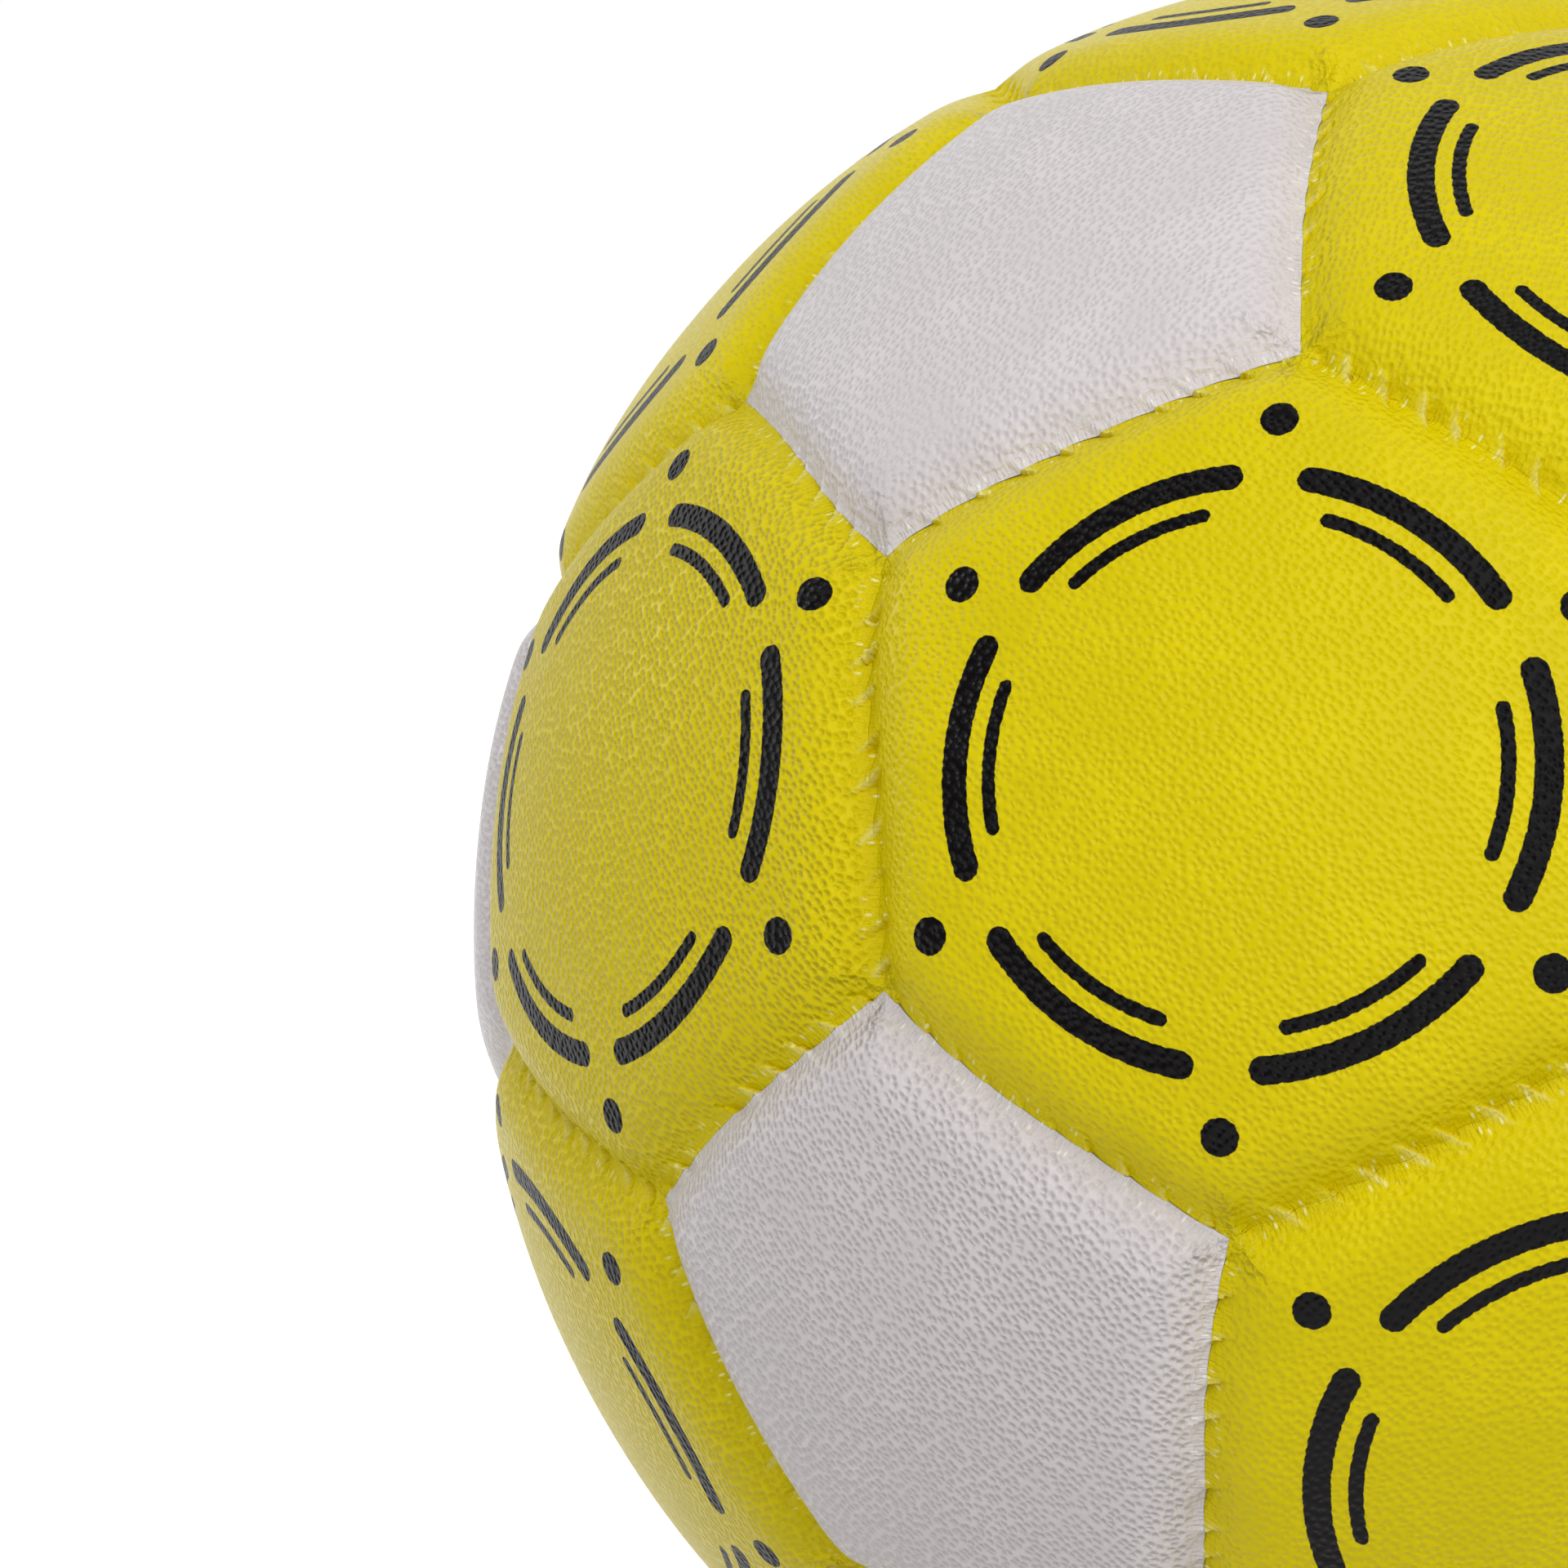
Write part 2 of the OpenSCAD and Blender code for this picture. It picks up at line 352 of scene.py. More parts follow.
def sway(t, y, seam):
    """How far the seam's line wanders between stitches. A hexagon bulges over a pentagon's edge there."""
    share, pulls = between_stitches(fold_place(t, y), seam)
    aside = -4 * SCALLOP * share * (1 - share) if seam["mixed"] else SWAY * np.sin(2 * math.pi * share)
    return pulls * aside * np.exp(-((y / SWAY_REACH) ** 2))


def bow(t, y, seam):
    """How far the whole seam bows."""
    turn = math.pi * np.clip(t / seam["length"], -0.5, 0.5)
    bent = seam["bow"][0] * np.cos(turn) ** 2 + seam["bow"][1] * np.sin(2 * turn)
    return bent * np.exp(-((np.maximum(y, 0) / BOW_REACH) ** 2))


def towards_corners(t, length):
    """1 along a seam, falling to 0 at its two corners."""
    return np.clip((length / 2 - np.abs(t)) / CORNER_FADE, 0, 1) ** 2


def lumps(d):
    """How far the ball's low lumps lower the surface, from 0 to twice LUMP."""
    draw = np.random.default_rng(LUMP_SEED)
    total = np.zeros(len(d))
    for _ in range(LUMP_WAVES):
        total += np.sin(d @ draw.normal(0, LUMP_TURNS, 3) + draw.uniform(0, 2 * math.pi))
    return LUMP * (1 + np.tanh(total / LUMP_SOFTNESS))


def hole_drop(p, d):
    """How far the rounded rim of the valve's hole lies below the skin."""
    past_rim = CROWN_RADIUS * np.arccos(np.clip(d @ p["axis"], -1, 1)) - HOLE_RADIUS
    inside = np.clip(1 - past_rim / HOLE_ROUND, 0, 1)
    return HOLE_ROUND * (1 - np.sqrt(1 - inside**2))


def outer_surface(p, d):
    """The points of a panel's outer surface in the directions d, and their places beside the nearest seam.

    A place is how far along its seam the point is, how far from it, a share that fades to 0 where the next
    seam is as near, and the nearness to a fold's crest."""
    joined = sum(web_drop(d, corner) ** JOIN_POWER for corner in p["corners"])
    extra = lumps(d)
    moved = np.zeros_like(d)
    beside = np.zeros((len(d), 4))
    nearest = np.full(len(d), FAR)
    second = np.full(len(d), FAR)
    for edge in p["edges"]:
        seam, sense = edge["seam"], edge["sense"]
        y = CROWN_RADIUS * (d @ edge["inward"])
        t = CROWN_RADIUS * np.arctan2(d @ edge["along"], d @ edge["out"])
        fade = towards_corners(t, seam["length"])
        joined += (wall_drop(y) * sewn_depth(t, seam)) ** JOIN_POWER
        depth = FOLD_DEPTH
        if seam["mixed"]:
            depth *= PENTAGON_FOLD_SHARE if len(p["corners"]) == 5 else MIXED_FOLD_SHARE
        drop, crest = folds(sense * t, sense * y, seam, depth)
        extra += fade * drop
        beside[:, 3] += fade * crest
        extra += GROOVE_DEPTH * np.exp(-np.maximum(y, 0) / GROOVE_WIDTH)
        aside = fade * sway(sense * t, sense * y, seam) + bow(sense * t, y, seam)
        moved += np.outer(sense * aside, edge["inward"])
        nearer = y < nearest
        second = np.where(nearer, nearest, np.minimum(second, y))
        nearest = np.where(nearer, y, nearest)
        beside[nearer, 0] = (sense * t + SEAM_SPACING * seam["number"])[nearer]
    if p["open"]:
        extra += hole_drop(p, d)
    beside[:, 1] = nearest
    beside[:, 2] = np.clip((second - nearest) / BISECTOR_FADE, 0, 1)
    drop = joined ** (1 / JOIN_POWER)
    drop /= (1 + (drop / DEEPEST) ** DEEPEST_POWER) ** (1 / DEEPEST_POWER)
    return sewn(d, CROWN_RADIUS - drop - extra, moved), beside


def sewn(d, radius, moved=0.0):
    """Points in the directions d at the given radii, pulled along the ball as the sewing pulled the skins."""
    points = d * radius[:, None] + moved + sewing_shift(d)
    return unit_rows(points) * radius[:, None]


# Panel meshes
def ring(p, count, y):
    """Directions of a ring of points at a distance y from the seams, count of them between two corners.

    Near the seams the points lean with the folds, so that each fold's edge runs between two rows of them."""
    found = []
    shear = y * math.exp(-((y / SHEAR_END) ** 4)) / math.tan(math.radians(STITCH_LEAN))
    for edge, corner in zip(p["edges"], p["corners"]):
        sine = y / CROWN_RADIUS
        high = edge["inward"] @ p["axis"]
        share = sine / high
        cosine = p["axis"] @ corner
        rest = -share * cosine + math.sqrt(1 - share**2 * (1 - cosine**2))
        flat = share * math.sqrt(1 - high**2) + rest * (corner @ edge["out"])
        widest = math.atan2(-rest * (corner @ edge["along"]), flat)
        turns = widest * (2 * np.arange(count) / count - 1)
        turns -= shear / CROWN_RADIUS * np.clip((widest - np.abs(turns)) * CROWN_RADIUS / SHEAR_ROOM, 0, 1)
        level = math.sqrt(1 - sine**2)
        found.append(
            level * (np.outer(np.cos(turns), edge["out"]) + np.outer(np.sin(turns), edge["along"]))
            + sine * edge["inward"]
        )
    return np.concatenate(found)


def open_hole(p, d):
    """Moves directions away from the valve panel's axis, so that they leave a round hole in its middle."""
    height = d @ p["axis"]
    reach = CROWN_RADIUS * np.arccos(np.clip(height, -1, 1))
    opened = HOLE_RADIUS + reach * (1 - HOLE_RADIUS / HOLE_BLEND)
    wider = np.where(reach < HOLE_BLEND, opened, reach) / CROWN_RADIUS
    across = unit_rows(d - np.outer(height, p["axis"]))
    return across * np.sin(wider)[:, None] + np.outer(np.cos(wider), p["axis"])


def panel_ring(p, count, y):
    return open_hole(p, ring(p, count, y)) if p["open"] else ring(p, count, y)


def outer_sizes(p):
    """Counts and seam distances of the outer surface's rings, fine where the panel goes down to its seams."""
    middle = CROWN_RADIUS * (p["edges"][0]["inward"] @ p["axis"])
    step = (middle - MIDDLE_END) / MIDDLE_RINGS
    if p["open"]:
        sizes = [(MIDDLE_RINGS, middle - step * i) for i in (*HOLE_STEPS, *range(1, MIDDLE_RINGS + 1))]
    else:
        sizes = [(i, middle - step * i) for i in range(1, MIDDLE_RINGS + 1)]
    between = MIDDLE_END - FINE_END
    for times, shares in ((2, DOUBLED_SHARES), (4, DOUBLED_TWICE_SHARES)):
        sizes += [(MIDDLE_RINGS * times, MIDDLE_END - between * share) for share in shares]
    for i in range(FINE_RINGS + 1):
        sizes.append((MIDDLE_RINGS * FINE_TIMES, FINE_END * (1 - i / FINE_RINGS) ** FINE_CROWDING))
    return sizes


def strip(inner_start, inner, outer_start, outer, sides):
    """Faces between two rings that hold inner and outer points in each of their sectors."""
    faces = []

    def at(start, count, k, i):
        return start + (k * count + i) % (sides * count)

    for k in range(sides):
        for i in range(inner if outer != inner + 1 else outer):
            if outer == inner:
                faces.append([at(inner_start, inner, k, i), at(outer_start, outer, k, i),
                              at(outer_start, outer, k, i + 1), at(inner_start, inner, k, i + 1)])
            elif outer == inner + 1:
                near = at(inner_start, inner, k, i)
                far = [at(outer_start, outer, k, i), at(outer_start, outer, k, i + 1)]
                faces.append([near, *far])
                if i < inner:
                    faces.append([near, far[1], at(inner_start, inner, k, i + 1)])
            else:
                times = outer // inner
                far = [at(outer_start, outer, k, times * i + j) for j in range(times + 1)]
                near = [at(inner_start, inner, k, i), at(inner_start, inner, k, i + 1)]
                half = times // 2
                faces += [[near[0], far[j], far[j + 1]] for j in range(half)]
                faces.append([near[0], far[half], near[1]])
                faces += [[near[1], far[j], far[j + 1]] for j in range(half, times)]
    return faces


def stack_faces(counts, sides):
    """Faces of a closed form between rings, from the middle of its top over its rim to the middle below.

    A count of 0 stands for a single point. A form without such points has a hole right through."""
    starts = np.cumsum([0] + [sides * count or 1 for count in counts])
    pairs = list(zip(range(len(counts) - 1), range(1, len(counts))))
    if counts[0]:
        pairs.append((len(counts) - 1, 0))
    faces = []
    for a, b in pairs:
        if counts[a] == 0:
            total = sides * counts[b]
            faces += [[starts[a], starts[b] + i, starts[b] + (i + 1) % total] for i in range(total)]
        elif counts[b] == 0:
            total = sides * counts[a]
            faces += [[starts[b], starts[a] + (i + 1) % total, starts[a] + i] for i in range(total)]
        elif counts[b] >= counts[a]:
            faces += strip(starts[a], counts[a], starts[b], counts[b], sides)
        else:
            faces += [face[::-1] for face in strip(starts[b], counts[b], starts[a], counts[a], sides)]
    return faces


def panel_mesh(p):
    """The points and faces of a closed skin, and the places of its outer points beside the seams.

    The skin is an outer surface, edges turned in below it, and an inner surface."""
    sizes = outer_sizes(p)
    counts = [count for count, _ in sizes]
    rings = [panel_ring(p, count, y) for count, y in sizes]
    if not p["open"]:
        counts.insert(0, 0)
        rings.insert(0, p["axis"][None, :])
    outer, beside = outer_surface(p, np.concatenate(rings))

    # The rim keeps half a seam's gap, and turns in below it
    rim = slice(len(outer) - len(rings[-1]), len(outer))
    outer[rim] += np.repeat([edge["inward"] for edge in p["edges"]], counts[-1], axis=0) * HALF_SEAM_GAP
    tucked = outer[rim] - unit_rows(outer[rim]) * TURNED_EDGE
    counts.append(counts[-1])

    # The inner surface, a skin's thickness below the outer one
    inner = []
    for times in INNER_DISTANCES:
        d = panel_ring(p, MIDDLE_RINGS, times * SKIN)
        points = outer_surface(p, d)[0]
        thickness = EDGE_THICKNESS if times == 1 else SLOPE_THICKNESS
        inner.append(points - unit_rows(points) * SKIN * thickness)
        counts.append(MIDDLE_RINGS)
    if p["open"]:
        first = outer[: len(rings[0])]
        inner.append(first - unit_rows(first) * (SKIN - HOLE_ROUND))
        counts.append(MIDDLE_RINGS)
    else:
        inner.append(outer[:1] - p["axis"] * SKIN)
        counts.append(0)
    faces = stack_faces(counts, len(p["edges"]))
    return np.concatenate([outer, tucked, *inner]), faces, beside


def layer_mesh(p, top, bottom_radius):
    """A closed layer under a skin. top gives the radius of its upper side at a distance from the seams."""
    middle = CROWN_RADIUS * (p["edges"][0]["inward"] @ p["axis"])
    rim = SKIN + GLUE + HALF_SEAM_GAP
    distances = [middle * share for share in LAYER_MIDDLE_SHARES] + [rim * times for times in LAYER_RIM_TIMES]
    rings = [panel_ring(p, LAYER_COUNT, y) for y in distances]
    counts = [LAYER_COUNT] * (2 * len(rings))
    if not p["open"]:
        rings.insert(0, p["axis"][None, :])
        distances.insert(0, middle)
        counts = [0, *counts, 0]
    upper = [sewn(d, np.maximum(top(p, d, y), bottom_radius + GLUE)) for d, y in zip(rings, distances)]
    lower = [sewn(d, np.full(len(d), bottom_radius)) for d in rings[::-1]]
    return np.concatenate(upper + lower), stack_faces(counts, len(p["edges"]))


def foam_top(p, d, y):
    """Radius of the foam's upper side, which follows the skin down its wall."""
    slope_room = SLOPE_ROOM if y < WALL_WIDTH else 1.0
    return np.linalg.norm(outer_surface(p, d)[0], axis=1) - (SKIN + GLUE) * slope_room


def lining_top(p, d, y):
    return np.full(len(d), LINING_RADIUS)


def layers_piece(node, panels, top, bottom_radius, material):
    """One piece of like layers, a separate closed form under each of the panels."""
    points, faces = [], []
    for p in panels:
        more, more_faces = layer_mesh(p, top, bottom_radius)
        start = sum(len(part) for part in points)
        faces += [[start + i for i in face] for face in more_faces]
        points.append(more)
    made = mesh_object(node + "_layer", np.concatenate(points), faces)
    made.data.materials.append(material)
    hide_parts(node)
    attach(made, "root")
    return made


def mesh_object(name, points, faces):
    mesh = bpy.data.meshes.new(name)
    mesh.from_pydata((points * MM).tolist(), [], faces)
    mesh.validate()
    mesh.shade_smooth()
    mesh.set_sharp_from_angle(angle=math.radians(SHARP_ANGLE))
    made = bpy.data.objects.new(name, mesh)
    bpy.context.scene.collection.objects.link(made)
    return made


def flat_places(p, points):
    """Places on the panel laid flat, in millimetres from its middle."""
    first = unit(p["corners"][0] - p["axis"] * (p["corners"][0] @ p["axis"]))
    second = np.cross(p["axis"], first)
    d = unit_rows(points)
    polar = CROWN_RADIUS * np.arccos(np.clip(d @ p["axis"], -1, 1))
    flat = np.stack([d @ first, d @ second], axis=1)
    return flat * (polar / np.maximum(np.linalg.norm(flat, axis=1), 1e-9))[:, None]


def add_vectors(mesh, name, values):
    values = np.pad(values, ((0, 0), (0, 3 - values.shape[1])))
    mesh.attributes.new(name, "FLOAT_VECTOR", "POINT").data.foreach_set("vector", values.ravel())


def add_places(made, p, points, beside, draw):
    """Gives the material each point's place on the panel, on the grained sheet and beside its seam.

    The third number of a place on the sheet is how deep this panel's grain is."""
    flat = flat_places(p, points)
    turn = draw.uniform(0, 2 * math.pi)
    across = np.array([[math.cos(turn), -math.sin(turn)], [math.sin(turn), math.cos(turn)]])
    sheet = flat @ across + draw.uniform(*SHEET_RANGE, 2)
    depth = np.full((len(flat), 1), draw.uniform(SHALLOWEST_GRAIN, 1))
    add_vectors(made.data, "panel_place", flat)
    add_vectors(made.data, "grain_place", np.hstack([sheet, depth]))
    beside = np.pad(beside, ((0, len(points) - len(beside)), (0, 0)))
    add_vectors(made.data, "seam_place", beside[:, :3])
    made.data.attributes.new("crest", "FLOAT", "POINT").data.foreach_set("value", beside[:, 3])


def panel_piece(p, number, material):
    points, faces, beside = panel_mesh(p)
    made = mesh_object(p["name"].replace("_panel", "_skin"), points, faces)
    add_places(made, p, points, beside, np.random.default_rng(GRAIN_SEED + number))
    made.data.materials.append(material)
    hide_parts(p["name"])
    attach(made, "root")
    return made


# Materials
def new_material(name):
    material = bpy.data.materials.new(name)
    material.use_nodes = True
    tree = material.node_tree
    tree.nodes.clear()
    return material, tree


def add(tree, kind, inputs=None, **settings):
    """A shader node. Its inputs are values or other nodes' outputs."""
    made = tree.nodes.new(kind)
    for name, value in settings.items():
        setattr(made, name, value)
    for name, value in (inputs or {}).items():
        if isinstance(value, bpy.types.NodeSocket):
            tree.links.new(value, made.inputs[name])
        else:
            made.inputs[name].default_value = value
    return made


def maths(tree, operation, *values):
    return add(tree, "ShaderNodeMath", dict(enumerate(values)), operation=operation).outputs[0]


def smooth_step(tree, value, low, high, to_low=0.0, to_high=1.0):
    inputs = {"Value": value, "From Min": low, "From Max": high, "To Min": to_low, "To Max": to_high}
    return add(tree, "ShaderNodeMapRange", inputs, interpolation_type="SMOOTHSTEP").outputs[0]


def mix_number(tree, share, a, b):
    return add(tree, "ShaderNodeMix", {0: share, 2: a, 3: b}, data_type="FLOAT").outputs[0]


def mix_colour(tree, share, a, b):
    return add(tree, "ShaderNodeMix", {0: share, 6: a, 7: b}, data_type="RGBA").outputs[2]


def scaled(tree, vector, factor):
    return add(tree, "ShaderNodeVectorMath", {0: vector, 3: factor}, operation="SCALE").outputs[0]


def stretched(tree, vector, factors):
    return add(tree, "ShaderNodeVectorMath", {0: vector, 1: factors}, operation="MULTIPLY").outputs[0]


def attribute(tree, name):
    return add(tree, "ShaderNodeAttribute", attribute_name=name).outputs["Vector"]


def noise(tree, vector, scale, detail=1.0, dimensions="3D", output="Fac"):
    inputs = {"Vector": vector, "Scale": scale, "Detail": detail}
    return add(tree, "ShaderNodeTexNoise", inputs, noise_dimensions=dimensions).outputs[output]


def linear(red, green, blue):
    """A colour from its values out of 255 as a screen shows them."""
    def one(c):
        c /= 255
        return c / 12.92 if c <= 0.04045 else ((c + 0.055) / 1.055) ** 2.4
    return (one(red), one(green), one(blue), 1.0)


def millimetre_coordinates(tree):
    return scaled(tree, add(tree, "ShaderNodeTexCoord").outputs["Object"], 1 / MM)


def relief(tree, height, depth, strength=1.0):
    """A bump of the given depth in millimetres."""
    inputs = {"Height": height, "Distance": depth * MM, "Strength": strength}
    return add(tree, "ShaderNodeBump", inputs).outputs[0]


def finish_material(tree, colour, roughness, normal, shine=0.5):
    inputs = {"Base Color": colour, "Roughness": roughness, "Normal": normal, "Specular IOR Level": shine}
    shader = add(tree, "ShaderNodeBsdfPrincipled", inputs)
    add(tree, "ShaderNodeOutputMaterial", {"Surface": shader.outputs[0]})


# The embossed grain: small oval dimples in slightly bent rows, which fade in with the distance from a seam
GRAIN_PITCH = 0.76
GRAIN_STRETCH = (1.1, 0.9, 1.0)
GRAIN_SMOOTHNESS = 0.22
GRAIN_SCATTER = 0.7
GRAIN_FROM_MIDDLE = (-0.1, 0.66)
GRAIN_BEND = 0.25
GRAIN_BEND_SCALE = 0.8
YELLOW_GRAIN_DEPTH = 0.33
WHITE_GRAIN_DEPTH = 0.32
GRAIN_START = 0.3
GRAIN_FULL = 1.8


def grain(tree, place):
    """0 in a dimple's middle, 1 on the land between dimples."""
    wave = noise(tree, place, GRAIN_BEND_SCALE, dimensions="2D", output="Color")
    bending = {0: wave, 1: (GRAIN_BEND,) * 3, 2: place}
    bent = add(tree, "ShaderNodeVectorMath", bending, operation="MULTIPLY_ADD").outputs[0]
    inputs = {
        "Vector": stretched(tree, bent, GRAIN_STRETCH),
        "Scale": 1 / GRAIN_PITCH,
        "Smoothness": GRAIN_SMOOTHNESS,
        "Randomness": GRAIN_SCATTER,
    }
    cells = add(tree, "ShaderNodeTexVoronoi", inputs, feature="SMOOTH_F1", voronoi_dimensions="2D")
    return smooth_step(tree, cells.outputs["Distance"], *GRAIN_FROM_MIDDLE)


# The print on a yellow panel: six arcs in a broken double ring, and a dot towards each corner
HALF_SECTOR = 30
RING_RADIUS = 24.6
ARC_WIDTH = 2.3
ARC_HALF_SPAN = 22
THIN_RING_RADIUS = 21.4
THIN_ARC_WIDTH = 1.2
THIN_ARC_HALF_SPAN = 16
DOT_PLACE = 30.0
DOT_DIAMETER = 3.2


def print_distance(tree):
    """Distance outside the print's edge, negative on the ink."""
    place = attribute(tree, "panel_place")
    split = add(tree, "ShaderNodeSeparateXYZ", {0: place}).outputs
    r = add(tree, "ShaderNodeVectorMath", {0: place}, operation="LENGTH").outputs["Value"]
    turn = maths(tree, "ARCTAN2", split[1], split[0])
    folded = maths(tree, "PINGPONG", turn, math.radians(HALF_SECTOR))
    x = maths(tree, "MULTIPLY", r, maths(tree, "COSINE", folded))
    y = maths(tree, "MULTIPLY", r, maths(tree, "SINE", folded))

    def distance_to(px, py):
        dx, dy = maths(tree, "SUBTRACT", x, px), maths(tree, "SUBTRACT", y, py)
        return maths(tree, "SQRT", maths(tree, "MULTIPLY_ADD", dx, dx, maths(tree, "MULTIPLY", dy, dy)))

    def arc(radius, width, half_span):
        end = math.radians(HALF_SECTOR - half_span)
        to_end = distance_to(radius * math.cos(end), radius * math.sin(end))
        to_line = maths(tree, "ABSOLUTE", maths(tree, "SUBTRACT", r, radius))
        to_arc = mix_number(tree, maths(tree, "LESS_THAN", folded, end), to_line, to_end)
        return maths(tree, "SUBTRACT", to_arc, width / 2)

    wide = arc(RING_RADIUS, ARC_WIDTH, ARC_HALF_SPAN)
    thin = arc(THIN_RING_RADIUS, THIN_ARC_WIDTH, THIN_ARC_HALF_SPAN)
    arcs = maths(tree, "MINIMUM", wide, thin)
    dot = maths(tree, "SUBTRACT", distance_to(DOT_PLACE, 0.0), DOT_DIAMETER / 2)
    return maths(tree, "MINIMUM", arcs, dot)


# The leather's colours, with painted shade for the grain's dimples and painted glints, and the strength of
# its reflections
YELLOW = linear(224, 205, 0)
YELLOW_PIT_SHADE = linear(220, 200, 0)
YELLOW_GLINT = linear(240, 234, 150)
WHITE = linear(221, 214, 215)
WHITE_PIT_SHADE = linear(214, 207, 208)
WHITE_GLINT = linear(240, 238, 236)
INK = linear(12, 9, 10)
YELLOW_SHINE = 0.12
WHITE_SHINE = 0.25


# The leather's relief beside the grain, in shares of the grain's depth. Wrinkles, creases and the crumpled
# corners have their ranges in distances from a seam
PATCH_SCALE = 0.12
PATCH_RANGE = (0.25, 0.6)
PATCH_DEPTHS = (0.7, 1.0)
FINE_SCALE = 5.0
FINE_HEIGHT = 0.05
WRINKLE_STRETCH = (0.5, 1.6, 0.0)
WRINKLE_RANGE = (1.0, 5.5)
WRINKLE_HEIGHT = 0.7
CREASE_STRETCH = (3.2, 0.9, 0.0)
CREASE_RANGE = (0.4, 2.0)
CREASE_HEIGHT = 0.8
CORNER_SCALE = 0.8
CORNER_RANGE = (1.5, 6.0)
CORNER_HEIGHT = 3.5

# Painted glints as pale flecks beside the seams, a painted highlight on the folds' crests, faint grime, and
# the print's edge
FLECK_STRETCH = (1.5, 0.6, 0.0)
FLECK_RADII = (0.12, 0.24)
FLECK_RANGE = (0.9, 1.8)
FLECK_CHOICE = 0.62
CREST_RANGE = (0.1, 0.9)
CREST_PAINTED_HIGHLIGHT = 0.45
GRIME_RANGE = (0.3, 0.75)
GRIME_SHADES = (0.95, 1.02)
ROUGHNESS_RANGE = (0.5, 4.0)
ROUGHNESS_AT_SEAM = 0.42
ROUGHNESS = 0.3
INK_ROUGHNESS = 0.36
INK_START = 0.5
INK_EDGE = 0.05
INK_WOBBLE = 0.1


def leather_relief(tree, sheet, beside, cells, patches, fine):
    """The relief's height, and the grain's depth there. Wrinkles and creases are beside the seams."""
    _, distance, clear = add(tree, "ShaderNodeSeparateXYZ", {0: beside}).outputs
    depth = add(tree, "ShaderNodeSeparateXYZ", {0: sheet}).outputs[2]
    depth = maths(tree, "MULTIPLY", depth, smooth_step(tree, distance, GRAIN_START, GRAIN_FULL))
    depth = maths(tree, "MULTIPLY", depth, smooth_step(tree, patches, *PATCH_RANGE, *PATCH_DEPTHS))
    height = maths(tree, "MULTIPLY_ADD", cells, depth, maths(tree, "MULTIPLY", fine, FINE_HEIGHT))
    wrinkles = noise(tree, stretched(tree, beside, WRINKLE_STRETCH), 1.0, 3.0, "2D")
    creases = noise(tree, stretched(tree, beside, CREASE_STRETCH), 1.0, 2.0, "2D")
    in_corner = noise(tree, sheet, CORNER_SCALE, 3.0, "2D")
    corner = maths(tree, "SUBTRACT", 1.0, clear)
    for folds_there, distances, most, share in (
        (wrinkles, WRINKLE_RANGE, WRINKLE_HEIGHT, clear),
        (creases, CREASE_RANGE, CREASE_HEIGHT, clear),
        (in_corner, CORNER_RANGE, CORNER_HEIGHT, corner),
    ):
        near = maths(tree, "MULTIPLY", smooth_step(tree, distance, *distances, most, 0.0), share)
        height = maths(tree, "MULTIPLY_ADD", folds_there, near, height)
    return height, depth


def leather_glints(tree, beside):
    """How much painted highlight a place gets: glints painted as flecks beside the seams, and a highlight
    painted on the crests where the stitches stretch the skin.
    """
    _, distance, clear = add(tree, "ShaderNodeSeparateXYZ", {0: beside}).outputs
    inputs = {"Vector": stretched(tree, beside, FLECK_STRETCH), "Scale": 1.0}
    flecks = add(tree, "ShaderNodeTexVoronoi", inputs, voronoi_dimensions="2D").outputs
    draw = add(tree, "ShaderNodeSeparateXYZ", {0: flecks["Color"]}).outputs[0]
    chosen = maths(tree, "GREATER_THAN", draw, FLECK_CHOICE)
    glint = maths(tree, "MULTIPLY", smooth_step(tree, flecks["Distance"], *FLECK_RADII, 1.0, 0.0), chosen)
    glint = maths(tree, "MULTIPLY", glint, smooth_step(tree, distance, *FLECK_RANGE, 1.0, 0.0))
    glint = maths(tree, "MULTIPLY", glint, clear)
    crest = add(tree, "ShaderNodeAttribute", attribute_name="crest").outputs["Fac"]
    return maths(tree, "MAXIMUM", glint, smooth_step(tree, crest, *CREST_RANGE, 0.0, CREST_PAINTED_HIGHLIGHT))


def leather_ink(tree, distance, cells, fine):
    """Where the print's ink is. Its edge wavers with the grain, and none is at the foot of a panel."""
    edge = maths(tree, "MULTIPLY_ADD", fine, INK_WOBBLE, print_distance(tree))
    edge = maths(tree, "MULTIPLY_ADD", cells, -INK_WOBBLE, edge)
    ink = smooth_step(tree, edge, -INK_EDGE, INK_EDGE, 1.0, 0.0)
    return maths(tree, "MULTIPLY", ink, maths(tree, "GREATER_THAN", distance, INK_START))


